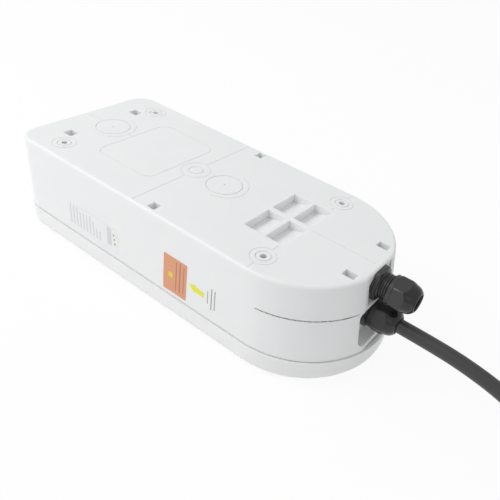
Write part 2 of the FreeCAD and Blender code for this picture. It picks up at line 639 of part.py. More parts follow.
def main_board():
    x0, x1 = FLAT_X + BOARD_FROM, FLAT_X + BOARD_TO
    board = box(x0, x1, -BOARD_WIDTH / 2, BOARD_WIDTH / 2, BOARD_Z - BOARD_THICKNESS, BOARD_Z)
    corners = [edge for edge in board.Edges if edge.BoundBox.ZLength > 1]
    board = board.makeFillet(4, corners)
    cuts = [cylinder(KNOCKOUT_DIAMETER / 2 + 3, 10, V(FLAT_X + LOWER_KNOCKOUT_AT, 0, BOARD_Z - 5))]
    for x, y in standoff_places():
        cuts.append(cylinder(BOARD_SCREW / 2 + 0.2, 10, V(x, y, BOARD_Z - 5)))
    return board.cut(cuts)


def board_screws():
    screws = []
    for x, y in standoff_places():
        head = cylinder(2.8, 2.2, V(x, y, BOARD_UNDER - 2.2))
        shank = cylinder(BOARD_SCREW / 2 - 0.1, 9, V(x, y, BOARD_UNDER - 0.1))
        slot = box(x - 2, x + 2, y - 0.4, y + 0.4, BOARD_UNDER - 3, BOARD_UNDER - 1.4)
        screws.append(fuse([head, shank]).cut(slot))
    return Part.makeCompound(screws)


def below_board(x, y, length, width, height):
    """Block that hangs under the board, given by its middle in plan."""
    x += FLAT_X
    return box(x - length / 2, x + length / 2, y - width / 2, y + width / 2,
               BOARD_UNDER - height, BOARD_UNDER)


def rounded(shape, radius):
    return shape.makeFillet(radius, [edge for edge in shape.Edges if edge.BoundBox.ZLength > 3])


def power_relays():
    return Part.makeCompound([rounded(below_board(x, y, 30, 26, 24), 1.5)
                              for x in (104, 140) for y in (-44, -14)])


def pole_places():
    """Middle of each power terminal across the case."""
    return [TERMINALS_ACROSS + (pole - (POLES - 1) / 2) * POLE_PITCH for pole in range(POLES)]


def terminal_block():
    block = below_board(TERMINALS_AT, TERMINALS_ACROSS, 22, POLES * POLE_PITCH + 2.5, 22)
    cuts = []
    x = FLAT_X + TERMINALS_AT
    for y in pole_places():
        cuts.append(cylinder(3.2, 14, V(x - 2, y, BOARD_UNDER - 12), X))
        cuts.append(cylinder(2.8, 8, V(x - 4, y, BOARD_UNDER - 23)))
    return block.cut(cuts)


def terminal_screws():
    x = FLAT_X + TERMINALS_AT - 4
    return Part.makeCompound([cylinder(2.6, 4, V(x, y, BOARD_UNDER - 19)) for y in pole_places()])


def residual_current_sensor():
    x, y = FLAT_X + 190, -36
    ring = cylinder(17, 13, V(x, y, BOARD_UNDER - 13))
    return ring.cut(cylinder(8, 20, V(x, y, BOARD_UNDER - 16)))


def supply_transformer():
    core = below_board(120, 42, 34, 28, 22)
    wound = below_board(120, 42, 20, 34, 18)
    return fuse([core, wound])


def filter_capacitors():
    return Part.makeCompound([cylinder(7, 20, V(FLAT_X + 156 + step * 17, 46, BOARD_UNDER - 20))
                              for step in range(3)])


def control_board():
    """Small board on four posts below the main board."""
    low = BOARD_UNDER - 12
    board = box(FLAT_X + 150, FLAT_X + 190, 0, 34, low - BOARD_THICKNESS, low)
    posts = [cylinder(2.5, 12, V(FLAT_X + x, y, low)) for x in (154, 186) for y in (4, 30)]
    return fuse([board] + posts)


def radio_module():
    top = BOARD_UNDER - 12 - BOARD_THICKNESS
    return box(FLAT_X + 158, FLAT_X + 180, 8, 26, top - 3, top)


def charging_cable_tail():
    """Sheathed end of the charging cable inside the gland and the case."""
    return cylinder(CABLE_DIAMETER / 2, CABLE_EXIT_X - RECESS_X + TAIL_LENGTH,
                    V(RECESS_X - TAIL_LENGTH, 0, CABLE_GLAND_Z), X)


def charging_cores():
    """Insulated cores from the cable's end up to the power terminals."""
    cores = []
    start_x = RECESS_X - TAIL_LENGTH
    end_x = FLAT_X + TERMINALS_AT + 4
    for pole, y1 in enumerate(pole_places()):
        angle = 2 * math.pi * pole / POLES
        y0, z0 = CORE_RING * math.cos(angle), CABLE_GLAND_Z + CORE_RING * math.sin(angle)
        z1 = BOARD_UNDER - 12
        path = [(start_x, y0, z0), (start_x - 14, y0, z0), (end_x + 32, y1, z1), (end_x, y1, z1)]
        cores.append(route_tube(path, CORE_DIAMETER / 2))
    return Part.makeCompound(cores)


def light_bar(grow, z0, z1):
    x, half = FLAT_X + LIGHT_AT, LIGHT_LENGTH / 2 + grow
    return box(x - LIGHT_WIDTH / 2 - grow, x + LIGHT_WIDTH / 2 + grow, -half, half, z0, z1)


def light_guide():
    """Clear bar in the front that shows the state of the charger."""
    return fuse([light_bar(0, 0.2, COVER_WALL), light_bar(2.5, COVER_WALL, COVER_WALL + 1.5)])


def light_board():
    low = COVER_WALL + 1.5
    return light_bar(4, low, low + BOARD_THICKNESS)


def main():
    nodes = {"rear_housing": rear_housing(), "front_cover": front_cover(), "housing_seal": housing_seal()}
    nodes.update(gland_set("supply_gland", FACET_X, SUPPLY_GLAND_Z, NUT_RUN_LOOSE,
                           SUPPLY_INSERT_BORE))
    nodes.update(gland_set("cable_gland", RECESS_X, CABLE_GLAND_Z, NUT_RUN_TIGHT, CABLE_DIAMETER + 0.2))
    nodes.update({"main_board": main_board(), "board_screws": board_screws(), "power_relays": power_relays(),
                  "terminal_block": terminal_block(), "terminal_screws": terminal_screws(),
                  "residual_current_sensor": residual_current_sensor(),
                  "supply_transformer": supply_transformer(), "filter_capacitors": filter_capacitors(),
                  "control_board": control_board(), "radio_module": radio_module(),
                  "light_guide": light_guide(), "light_board": light_board(),
                  "charging_cable_tail": charging_cable_tail(), "charging_cores": charging_cores(),
                  "charging_cable": route_tube(CABLE_ROUTE, CABLE_DIAMETER / 2),
                  "plug_lead": route_tube(LEAD_ROUTE, CABLE_DIAMETER / 2),
                  "cable_coil": cable_coil(), "coil_tie": coil_tie()})
    nodes.update(connector_pieces())
    os.makedirs("parts", exist_ok=True)
    for name, shape in nodes.items():
        print(name, shape.isValid(), len(shape.Solids), round(shape.Volume), len(shape.Faces))
        shape.exportStep("parts/" + name + ".step")


main()
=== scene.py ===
"""Blender dressing of a wall charger for electric cars, lying on its front cover.

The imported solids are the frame. This add-on gives them their surfaces, models the cable glands,
the plain label fields and the charging cable, and sets up the studio and the camera.
"""

import json
import math

import bpy
from mathutils import Matrix, Vector


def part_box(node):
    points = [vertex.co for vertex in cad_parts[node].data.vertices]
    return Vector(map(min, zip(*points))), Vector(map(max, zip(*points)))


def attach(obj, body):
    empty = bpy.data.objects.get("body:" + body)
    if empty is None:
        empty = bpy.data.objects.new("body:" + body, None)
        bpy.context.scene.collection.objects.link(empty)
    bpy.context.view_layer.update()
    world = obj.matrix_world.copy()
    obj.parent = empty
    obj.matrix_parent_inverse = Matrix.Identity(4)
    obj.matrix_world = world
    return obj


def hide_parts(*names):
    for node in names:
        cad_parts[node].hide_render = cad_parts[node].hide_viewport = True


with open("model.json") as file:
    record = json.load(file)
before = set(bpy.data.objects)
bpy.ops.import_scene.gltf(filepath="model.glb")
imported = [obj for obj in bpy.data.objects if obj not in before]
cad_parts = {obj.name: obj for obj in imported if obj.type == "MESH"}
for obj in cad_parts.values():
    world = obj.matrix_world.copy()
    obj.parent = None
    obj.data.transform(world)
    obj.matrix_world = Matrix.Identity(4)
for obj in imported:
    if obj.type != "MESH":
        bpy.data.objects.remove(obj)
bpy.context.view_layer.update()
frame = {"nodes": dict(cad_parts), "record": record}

bl_info = {
    "name": "Wall charger dressing",
    "version": (1, 0, 0),
    "blender": (4, 2, 0),
    "location": "3D View > Sidebar > Charger",
    "description": "Surfaces, cable glands, label fields, charging cable and studio of a wall charger",
    "category": "Object",
}

MM = 0.001
# Points closer than this are merged, and points this close to an end lie on it, in metres
MERGE_WITHIN = 0.00001
NEAR = 0.0001
# Faces in the rounding of one corner
CORNER_STEPS = 3

# Surfaces: colour, roughness, metallic, grain size, grain depth, edge radius (the last three in mm).
# The slots of the record come first, then the finishes of the glands' ends, the films and the print.
# Where the colour is None, the panel sets it.
SURFACES = {
    "white_plastic": (None, 0.46, 0.0, 0.9, 0.008, 0.5),
    "cover_plastic": (None, 0.36, 0.0, 2.5, 0.005, 0.6),
    "gland_polyamide": (None, 0.36, 0.0, 0.8, 0.012, 0.2),
    "cable_sheath": (None, 0.42, 0.0, 1.5, 0.020, 0.0),
    "black_plastic": ((0.025, 0.025, 0.027), 0.42, 0.0, 0.7, 0.020, 0.5),
    "soft_black": ((0.025, 0.025, 0.025), 0.62, 0.0, 1.2, 0.020, 0.4),
    "insulator_plastic": ((0.050, 0.050, 0.055), 0.40, 0.0, 0.8, 0.010, 0.3),
    "relay_plastic": ((0.030, 0.030, 0.035), 0.38, 0.0, 0.8, 0.010, 0.3),
    "terminal_plastic": ((0.100, 0.350, 0.160), 0.40, 0.0, 0.8, 0.010, 0.3),
    "seal_rubber": ((0.620, 0.620, 0.610), 0.70, 0.0, 1.0, 0.020, 0.0),
    "core_insulation": ((0.250, 0.120, 0.060), 0.42, 0.0, 1.5, 0.010, 0.0),
    "board": ((0.050, 0.220, 0.100), 0.35, 0.0, 3.0, 0.020, 0.1),
    "clear_plastic": ((0.900, 0.930, 0.930), 0.45, 0.0, 1.0, 0.010, 0.2),
    "aluminium": ((0.720, 0.720, 0.740), 0.32, 1.0, 1.0, 0.004, 0.3),
    "contact_metal": ((0.780, 0.720, 0.580), 0.25, 1.0, 1.0, 0.003, 0.1),
    "steel": ((0.550, 0.550, 0.560), 0.34, 1.0, 0.6, 0.004, 0.1),
    "tin": ((0.620, 0.620, 0.620), 0.36, 1.0, 1.5, 0.004, 0.1),
    "tie_strap": ((0.030, 0.030, 0.030), 0.85, 0.0, 0.6, 0.120, 0.0),
    "gland_gloss": ((0.012, 0.012, 0.012), 0.14, 0.0, 1.6, 0.030, 0.3),
    "amber_film": ((0.740, 0.600, 0.030), 0.36, 0.0, 2.0, 0.003, 0.0),
    "label_film": ((0.800, 0.810, 0.825), 0.30, 0.0, 4.0, 0.003, 0.0),
    "orange_film": ((0.700, 0.310, 0.170), 0.36, 0.0, 2.0, 0.003, 0.0),
    "yellow_film": ((0.790, 0.780, 0.010), 0.36, 0.0, 2.0, 0.003, 0.0),
    "grey_print": ((0.640, 0.645, 0.655), 0.45, 0.0, 1.0, 0.002, 0.0),
    "dark_print": ((0.300, 0.300, 0.310), 0.45, 0.0, 1.0, 0.002, 0.0),
    "rust_print": ((0.430, 0.190, 0.110), 0.45, 0.0, 1.0, 0.002, 0.0),
    "olive_print": ((0.420, 0.450, 0.150), 0.45, 0.0, 1.0, 0.002, 0.0),
}

# Surfaces whose colour is set in the panel, with the name of the setting
PANEL_COLOURS = {
    "white_plastic": "housing_colour",
    "cover_plastic": "cover_colour",
    "gland_polyamide": "gland_colour",
    "cable_sheath": "cable_colour",
}
# Share and reach in mm of the light that passes through the white mouldings
MILKY = {"white_plastic": (0.6, 2.2), "cover_plastic": (0.6, 2.2), "seal_rubber": (0.5, 1.5)}
REFRACTION = 1.5
# Mottling: its scale and detail, and how far it moves the tone and the roughness
MOTTLE_SCALE = 35.0
MOTTLE_DETAIL = 3.0
TONE_SWING = 0.015
ROUGHNESS_SWING = 0.04
GRAIN_DETAIL = 2.0
GRAIN_STRENGTH = 0.5
EDGE_SAMPLES = 6

# Centre line of the cable from its gland to the coil, and of the lead from the coil to the connector, in mm
CABLE_ROUTE = [
    (214.148, 0, 57.5), (246, 0, 57.4), (280, -0.5, 56), (318, -3, 51.5), (360, -11, 43),
    (404, -30, 31), (450, -62, 18), (492, -87, 9.4), (532, -97, 7.2), (580, -97, 7.2)]
LEAD_ROUTE = [(580, -97, 35.4), (620, -97, 35), (655, -93, 31.7), (693, -86.4, 31.7)]
# Turns of the coil in the order in which they are wound: radius of the turn and height of its centre, in mm
COIL_TURNS = [
    (97, 7.2), (83, 7.2), (69, 7.2), (69, 21.3), (69, 35.4), (83, 35.4), (83, 21.3), (97, 21.3), (97, 35.4)]


def clear_selection():
    """Leave edit mode and deselect every object."""
    if bpy.context.object and bpy.context.object.mode != "OBJECT":
        bpy.ops.object.mode_set(mode="OBJECT")
    bpy.ops.object.select_all(action="DESELECT")


def pick(*objects):
    """Select only these objects and make the last one active."""
    clear_selection()
    for item in objects:
        item.select_set(True)
        bpy.context.view_layer.objects.active = item


def named(name):
    """The object that the last operator made, under its own name."""
    item = bpy.context.object
    item.name = name
    item.data.name = name
    return item


def settle(item):
    """Put the object's origin at the frame's origin and keep its place in the mesh."""
    pick(item)
    bpy.ops.object.transform_apply(location=True, rotation=True, scale=True)


def apply_modifier(item, kind, **values):
    """Give an object one modifier with these values and apply it."""
    pick(item)
    modifier = item.modifiers.new(kind.title(), kind)
    for key, value in values.items():
        setattr(modifier, key, value)
    bpy.ops.object.modifier_apply(modifier=modifier.name)


def combine(item, other, operation):
    """Boolean of two closed meshes. The second one is used up."""
    apply_modifier(item, "BOOLEAN", object=other, operation=operation, solver="EXACT")
    bpy.data.objects.remove(other)


def tidy_mesh(item, angle=None):
    """Merge doubles, point the faces outwards and shade smooth up to an angle."""
    if angle is None:
        angle = bpy.context.scene.charger_finishes.smooth_angle
    pick(item)
    bpy.ops.object.mode_set(mode="EDIT")
    bpy.ops.mesh.select_all(action="SELECT")
    bpy.ops.mesh.remove_doubles(threshold=MERGE_WITHIN)
    bpy.ops.mesh.normals_make_consistent(inside=False)
    bpy.ops.object.mode_set(mode="OBJECT")
    bpy.ops.object.shade_smooth_by_angle(angle=angle)


def surface(name, colour, roughness, metallic, grain, depth, edge):
    """Procedural surface: fine moulded grain, slight mottling and worn-soft edges."""
    material = bpy.data.materials.get(name) or bpy.data.materials.new(name)
    if material.get("dressed"):
        return material
    material["dressed"] = True
    material.use_nodes = True
    material.diffuse_color = (*colour, 1)
    nodes, links = material.node_tree.nodes, material.node_tree.links
    nodes.clear()
    output = nodes.new("ShaderNodeOutputMaterial")
    shader = nodes.new("ShaderNodeBsdfPrincipled")
    shader.inputs["Metallic"].default_value = metallic
    shader.inputs["IOR"].default_value = REFRACTION
    if name in MILKY:
        share, reach = MILKY[name]
        shader.inputs["Subsurface Weight"].default_value = share
        shader.inputs["Subsurface Radius"].default_value = (1.0, 1.0, 1.0)
        shader.inputs["Subsurface Scale"].default_value = reach * MM
    place = nodes.new("ShaderNodeTexCoord")

    mottle = nodes.new("ShaderNodeTexNoise")
    mottle.inputs["Scale"].default_value = MOTTLE_SCALE
    mottle.inputs["Detail"].default_value = MOTTLE_DETAIL
    tone = nodes.new("ShaderNodeMix")
    tone.data_type = "RGBA"
    tone.inputs["A"].default_value = (*[(1 - TONE_SWING) * part for part in colour], 1)
    tone.inputs["B"].default_value = (*[min(1.0, (1 + TONE_SWING) * part) for part in colour], 1)
    gloss = nodes.new("ShaderNodeMapRange")
    gloss.inputs["To Min"].default_value = roughness - ROUGHNESS_SWING
    gloss.inputs["To Max"].default_value = roughness + ROUGHNESS_SWING

    grains = nodes.new("ShaderNodeTexNoise")
    grains.inputs["Scale"].default_value = 1000.0 / grain
    grains.inputs["Detail"].default_value = GRAIN_DETAIL
    bump = nodes.new("ShaderNodeBump")
    bump.inputs["Strength"].default_value = GRAIN_STRENGTH
    bump.inputs["Distance"].default_value = depth * MM
    links.new(place.outputs["Object"], mottle.inputs["Vector"])
    links.new(place.outputs["Object"], grains.inputs["Vector"])
    links.new(mottle.outputs["Fac"], tone.inputs["Factor"])
    links.new(mottle.outputs["Fac"], gloss.inputs["Value"])
    links.new(tone.outputs["Result"], shader.inputs["Base Color"])
    links.new(gloss.outputs["Result"], shader.inputs["Roughness"])
    links.new(grains.outputs["Fac"], bump.inputs["Height"])
    if edge:
        softened = nodes.new("ShaderNodeBevel")
        softened.samples = EDGE_SAMPLES
        softened.inputs["Radius"].default_value = edge * MM
        links.new(softened.outputs["Normal"], bump.inputs["Normal"])
    links.new(bump.outputs["Normal"], shader.inputs["Normal"])
    links.new(shader.outputs["BSDF"], output.inputs["Surface"])
    return material


def table_surface(name):
    """The surface of this name from the table, in the panel's colour where it has one."""
    colour, *grain = SURFACES[name]
    if name in PANEL_COLOURS:
        colour = tuple(getattr(bpy.context.scene.charger_finishes, PANEL_COLOURS[name]))
    return surface(name, colour, *grain)


def dress(item, name):
    """Give an object one surface from the table."""
    item.data.materials.clear()
    item.data.materials.append(table_surface(name))


def turned(name, profile, x, z, sides=64, closed=True):
    """Body of revolution about a line along X at (x, 0, z).

    It starts from a circle at the first station of the profile and is extruded and scaled
    from station to station. Each station is (distance along X, radius), in metres.
    """
    clear_selection()
    first, radius = profile[0]
    bpy.ops.mesh.primitive_circle_add(
        vertices=sides, radius=radius, location=(x + first, 0, z), rotation=(0, math.pi / 2, 0))
    item = named(name)
    settle(item)
    bpy.ops.object.mode_set(mode="EDIT")
    bpy.ops.mesh.select_mode(type="VERT")
    bpy.ops.mesh.select_all(action="SELECT")
    if not closed:
        bpy.ops.mesh.edge_face_add()
        bpy.ops.mesh.select_all(action="SELECT")
    stations = profile[1:] + (profile[:1] if closed else [])
    along = first
    for station, size in stations:
        bpy.ops.mesh.extrude_region_move(TRANSFORM_OT_translate={"value": (station - along, 0, 0)})
        bpy.ops.transform.resize(
            value=(1, size / radius, size / radius), center_override=(x + station, 0, z))
        along, radius = station, size
    bpy.ops.object.mode_set(mode="OBJECT")
    tidy_mesh(item)
    return item


def hexagonal(name, across_flats, start, end, x, z, corner):
    """Hexagonal bar along X, flats above and below, its long edges rounded by the corner radius."""
    clear_selection()
    bpy.ops.mesh.primitive_cylinder_add(
        vertices=6, radius=across_flats / math.sqrt(3), depth=end - start,
        location=(x + (start + end) / 2, 0, z), rotation=(0, math.pi / 2, 0))
    item = named(name)
    settle(item)
    # A cylinder's first corner points along its own Y, which the turn leaves as it is
    bpy.ops.object.mode_set(mode="EDIT")
    bpy.ops.mesh.select_all(action="DESELECT")
    bpy.ops.object.mode_set(mode="OBJECT")
    for edge in item.data.edges:
        a, b = (item.data.vertices[index].co for index in edge.vertices)
        edge.select = abs(a.x - b.x) > 0.5 * (end - start)
    bpy.ops.object.mode_set(mode="EDIT")
    bpy.ops.mesh.bevel(offset=corner, segments=CORNER_STEPS, affect="EDGES")
    bpy.ops.object.mode_set(mode="OBJECT")
    return item


class FinishSettings(bpy.types.PropertyGroup):
    housing_colour: bpy.props.FloatVectorProperty(
        name="Housing colour", description="Moulded back of the case", default=(0.83, 0.84, 0.845),
        min=0.0, max=1.0, subtype="COLOR")
    cover_colour: bpy.props.FloatVectorProperty(
        name="Cover colour", description="Front cover", default=(0.83, 0.84, 0.835),
        min=0.0, max=1.0, subtype="COLOR")
    gland_colour: bpy.props.FloatVectorProperty(
        name="Gland colour", description="Bodies and nuts of the cable glands",
        default=(0.034, 0.033, 0.034), min=0.0, max=1.0, subtype="COLOR")
    cable_colour: bpy.props.FloatVectorProperty(
        name="Cable colour", description="Sheath of the charging cable",
        default=(0.040, 0.040, 0.041), min=0.0, max=1.0, subtype="COLOR")
    smooth_angle: bpy.props.FloatProperty(
        name="Smooth angle", description="Edges flatter than this are shaded smooth on the added pieces",
        default=math.radians(30), subtype="ANGLE", unit="ROTATION")


class GlandSettings(bpy.types.PropertyGroup):
    thread_radius: bpy.props.FloatProperty(
        name="Thread radius", description="Crest of the outside thread", default=0.01245,
        subtype="DISTANCE", unit="LENGTH")
    root_radius: bpy.props.FloatProperty(
        name="Root radius", description="Foot of the outside thread", default=0.0113,
        subtype="DISTANCE", unit="LENGTH")
    thread_pitch: bpy.props.FloatProperty(
        name="Thread pitch", description="Distance between two turns of the thread", default=0.0024,
        subtype="DISTANCE", unit="LENGTH")
    flange_across: bpy.props.FloatProperty(
        name="Flange across flats", description="Hexagon against the wall", default=0.030,
        subtype="DISTANCE", unit="LENGTH")
    nut_across: bpy.props.FloatProperty(
        name="Nut across flats", description="Hexagon of the cap nut", default=0.029,
        subtype="DISTANCE", unit="LENGTH")
    opening_radius: bpy.props.FloatProperty(
        name="Opening radius", description="Mouth of the cap nut", default=0.008,
        subtype="DISTANCE", unit="LENGTH")
    supply_nut_turn: bpy.props.FloatProperty(
        name="Supply nut turn", description="How far the upper nut is turned about its axis",
        default=math.radians(-16), subtype="ANGLE", unit="ROTATION")
    cable_nut_turn: bpy.props.FloatProperty(
        name="Cable nut turn", description="How far the lower nut is turned about its axis",
        default=math.radians(-6), subtype="ANGLE", unit="ROTATION")


class LabelSettings(bpy.types.PropertyGroup):
    film: bpy.props.FloatProperty(
        name="Film thickness", description="Thickness of the adhesive films", default=0.00012,
        subtype="DISTANCE", unit="LENGTH")
    print_rise: bpy.props.FloatProperty(
        name="Print thickness", description="Height of the printed bars over the film", default=0.00004,
        subtype="DISTANCE", unit="LENGTH")


class CordSettings(bpy.types.PropertyGroup):
    diameter: bpy.props.FloatProperty(
        name="Cable diameter", description="Outside diameter of the sheath", default=0.01396,
        subtype="DISTANCE", unit="LENGTH")
    length: bpy.props.FloatProperty(
        name="Cable length", description="Length outside the case", default=4.7,
        subtype="DISTANCE", unit="LENGTH")
    coil_x: bpy.props.FloatProperty(
        name="Coil centre X", description="Middle of the coil", default=0.580,
        subtype="DISTANCE", unit="LENGTH")
    coil_y: bpy.props.FloatProperty(
        name="Coil centre Y", description="Middle of the coil", default=0.0,
        subtype="DISTANCE", unit="LENGTH")
    turns: bpy.props.IntProperty(
        name="Turns", description="Full turns of the coil", default=8, min=1)
    points_per_turn: bpy.props.IntProperty(
        name="Points per turn", description="Control points in one turn of the coil", default=18, min=12)
    first_step: bpy.props.FloatProperty(
        name="First step", description="Angle wound before the cable first moves to the next place",
        default=math.radians(320), subtype="ANGLE", unit="ROTATION")
    step_every: bpy.props.FloatProperty(
        name="Step every", description="Angle between two moves to the next place",
        default=math.radians(317), subtype="ANGLE", unit="ROTATION")
    step_over: bpy.props.FloatProperty(
        name="Step over", description="Angle within which one move is made",
        default=math.radians(34), subtype="ANGLE", unit="ROTATION")


class StageSettings(bpy.types.PropertyGroup):
    azimuth: bpy.props.FloatProperty(
        name="Azimuth", description="Where the camera stands round the case",
        default=math.radians(30.428), subtype="ANGLE", unit="ROTATION")
    elevation: bpy.props.FloatProperty(
        name="Elevation", description="How high the camera stands",
        default=math.radians(39.594), subtype="ANGLE", unit="ROTATION")
    roll: bpy.props.FloatProperty(
        name="Roll", description="Turn of the camera about its own axis",
        default=math.radians(9.514), subtype="ANGLE", unit="ROTATION")
    distance: bpy.props.FloatProperty(
        name="Distance", description="Camera to the middle of the case along the view",
        default=0.614201, subtype="DISTANCE", unit="LENGTH")
    slide_right: bpy.props.FloatProperty(
        name="Slide right", description="Camera moved along its own right", default=0.085654,
        subtype="DISTANCE", unit="LENGTH")
    slide_up: bpy.props.FloatProperty(
        name="Slide up", description="Camera moved along its own up", default=-0.016345,
        subtype="DISTANCE", unit="LENGTH")
    lens: bpy.props.FloatProperty(
        name="Lens", description="Focal length on a 36 mm sensor, in millimetres", default=38.919)
    shift_x: bpy.props.FloatProperty(
        name="Shift X", description="Sideways shift of the frame", default=-0.09565)
    shift_y: bpy.props.FloatProperty(
        name="Shift Y", description="Upward shift of the frame", default=0.06665)
    sky: bpy.props.FloatProperty(
        name="Sky", description="Even light from all round", default=0.70)
    key: bpy.props.FloatProperty(
        name="Key", description="Power of the large soft box", default=17.0, unit="POWER")
    fill: bpy.props.FloatProperty(
        name="Fill", description="Power of the small soft box on the right", default=0.2, unit="POWER")
    white_share: bpy.props.FloatProperty(
        name="White share", description="How far the floor is lifted to white towards the camera",
        default=0.9, min=0.0, max=1.0, subtype="FACTOR")


class CHARGER_OT_finishes(bpy.types.Operator):
    """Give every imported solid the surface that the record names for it"""

    bl_idname = "charger.finishes"
    bl_label = "Surfaces"

    def execute(self, context):
        slots = {part["node"]: part["material_slot"] for part in frame["record"]["subparts"]}
        for node, item in frame["nodes"].items():
            dress(item, slots[node])
        return {"FINISHED"}


class CHARGER_OT_glands(bpy.types.Operator):
    """Model the threaded bodies and cap nuts of the two cable glands"""

    bl_idname = "charger.glands"
    bl_label = "Cable glands"

    # How far a gland's body stands out of the wall, its hexagon's length, wall and corner radius
    body_reach = 0.023
    flange_length = 0.006
    flange_wall = 0.002
    flange_corner = 0.0005
    # Thread: start behind the wall, turns, steps in a turn, depth that it is sunk into the body, and
    # its width at the foot and at the crest as shares of the pitch and of the foot
    thread_back = 0.0132
    thread_turns = 14
    thread_steps = 40
    thread_sunk = 0.0004
    foot_share = 0.80
    crest_share = 0.35
    # Cap nut: length, corner radius and facets of its round surfaces
    nut_length = 0.027
    nut_corner = 0.00025
    nut_sides = 96
    # Its glossy end: where it begins, the least slope of its faces and the edge left plain at the mouth
    gloss_from = 0.0150
    gloss_slope = 0.08
    mouth_edge = 0.0002
    # Angles up to which the body and the nut are shaded smooth
    body_smooth = math.radians(35)
    nut_smooth = math.radians(28)

    def body(self, settings, x, z):
        """Flange, threaded ends and bore of one gland body, on a wall whose face is at x."""
        root, crest = settings.root_radius, settings.thread_radius
        barrel = turned(
            "gland_barrel",
            [(-0.015, 0.0085), (-0.015, root - 0.0005), (-0.0142, root), (-0.0002, root), (-0.0002, 0.0135),
             (0.0062, 0.0135), (0.0072, 0.0124), (0.0072, 0.0110), (0.0086, 0.0110), (0.0090, root),
             (0.0222, root), (0.0230, root - 0.0007), (0.0230, 0.0095), (0.0060, 0.0095), (0.0040, 0.0085)],
            x, z)
        flange = hexagonal(
            "gland_flange", settings.flange_across, 0.0, self.flange_length, x, z, self.flange_corner)
        half = settings.flange_across / 2
        rounding = turned(
            "flange_rounding",
            [(-0.001, 0.0170), (0.0048, 0.0170), (0.0061, 0.0149)], x, z, closed=False)
        self.cap_end(rounding)
        combine(flange, rounding, "INTERSECT")
        inside = half - self.flange_wall
        hollow = turned("flange_hollow", [(-0.002, inside), (0.008, inside)], x, z, closed=False)
        self.cap_end(hollow)
        combine(flange, hollow, "DIFFERENCE")
        thread = self.thread(settings, x, z, root, crest)
        for item in (flange, thread, barrel):
            tidy_mesh(item, self.body_smooth)
        pick(flange, thread, barrel)
        bpy.ops.object.join()
        return bpy.context.object

    def cap_end(self, item):
        """Close the open end of a turned body."""
        pick(item)
        bpy.ops.object.mode_set(mode="EDIT")
        bpy.ops.mesh.select_all(action="SELECT")
        bpy.ops.mesh.fill_holes(sides=0)
        bpy.ops.mesh.select_all(action="SELECT")
        bpy.ops.mesh.normals_make_consistent(inside=False)
        bpy.ops.object.mode_set(mode="OBJECT")

    def thread(self, settings, x, z, root, crest):
        """One ridge wound round the body from its inner end to its outer end."""
        clear_selection()
        pitch, start, sunk = settings.thread_pitch, x - self.thread_back, self.thread_sunk
        bpy.ops.mesh.primitive_plane_add(
            size=1.0, location=(start, 0, z + (root - sunk + crest) / 2), rotation=(math.pi / 2, 0, 0))
        item = named("gland_thread")
        item.scale = (pitch * self.foot_share, crest - root + sunk, 1.0)
        settle(item)
        top = max(vertex.co.z for vertex in item.data.vertices)
        for vertex in item.data.vertices:
            vertex.select = vertex.co.z > top - NEAR
        for edge in item.data.edges:
            edge.select = all(item.data.vertices[index].select for index in edge.vertices)
        for polygon in item.data.polygons:
            polygon.select = False
        bpy.ops.object.mode_set(mode="EDIT")
        bpy.ops.transform.resize(value=(self.crest_share, 1, 1), center_override=(start, 0, top))
        bpy.ops.mesh.select_all(action="SELECT")
        bpy.ops.mesh.delete(type="ONLY_FACE")
        bpy.ops.object.mode_set(mode="OBJECT")
        bpy.context.scene.cursor.location = (x, 0, z)
        bpy.ops.object.origin_set(type="ORIGIN_CURSOR")
        apply_modifier(
            item, "SCREW", axis="X", angle=2 * math.pi, screw_offset=pitch, iterations=self.thread_turns,
            steps=self.thread_steps, render_steps=self.thread_steps, use_merge_vertices=True,
            merge_threshold=MERGE_WITHIN)
        settle(item)
        bpy.ops.object.mode_set(mode="EDIT")
        bpy.ops.mesh.select_all(action="SELECT")
        bpy.ops.mesh.fill_holes(sides=0)
        bpy.ops.object.mode_set(mode="OBJECT")
        return item

    def nut(self, settings, x, z):
        """Cap nut whose skirt starts at x: skirt ring, hexagon arching into a dome, open mouth."""
        half, sides = settings.nut_across / 2, self.nut_sides
        hexagon = hexagonal(
            "nut_hexagon", settings.nut_across, 0.0, self.nut_length, x, z, self.nut_corner)
        dome = turned(
            "nut_dome",
            [(0.0046, half - 0.0006), (0.0050, 0.0160), (0.0060, 0.0164), (0.0148, 0.0164),
             (0.0164, 0.0154), (0.0178, 0.0145), (0.0195, 0.0140), (0.0212, 0.0136),
             (0.0228, 0.0130), (0.0242, 0.0122), (0.0254, 0.0112), (0.0263, 0.0102),
             (0.0268, 0.0096), (0.0270, 0.0090)],
            x, z, sides, closed=False)
        self.cap_end(dome)
        combine(hexagon, dome, "INTERSECT")
        skirt = turned(
            "nut_skirt",
            [(0.0, 0.0141), (0.0006, 0.01475), (0.0044, 0.01475), (0.0052, 0.0139), (0.0056, 0.0130)],
            x, z, sides, closed=False)
        self.cap_end(skirt)
        combine(hexagon, skirt, "UNION")
        mouth = settings.opening_radius
        hollow = turned(
            "nut_hollow",
            [(-0.001, 0.0128), (0.0160, 0.0128), (0.0245, mouth), (0.0262, mouth),
             (0.0290, mouth + 0.0013)],
            x, z, sides, closed=False)
        self.cap_end(hollow)
        combine(hexagon, hollow, "DIFFERENCE")
        tidy_mesh(hexagon, self.nut_smooth)
        hexagon.data.materials.append(table_surface("gland_polyamide"))
        hexagon.data.materials.append(table_surface("gland_gloss"))
        for polygon in hexagon.data.polygons:
            centre = polygon.center
            out = Vector((0, centre.y, centre.z - z)).length
            sloping = abs(polygon.normal.x) > self.gloss_slope
            glossy = centre.x > x + self.gloss_from and sloping and out > mouth + self.mouth_edge
            polygon.material_index = int(glossy)
        return hexagon

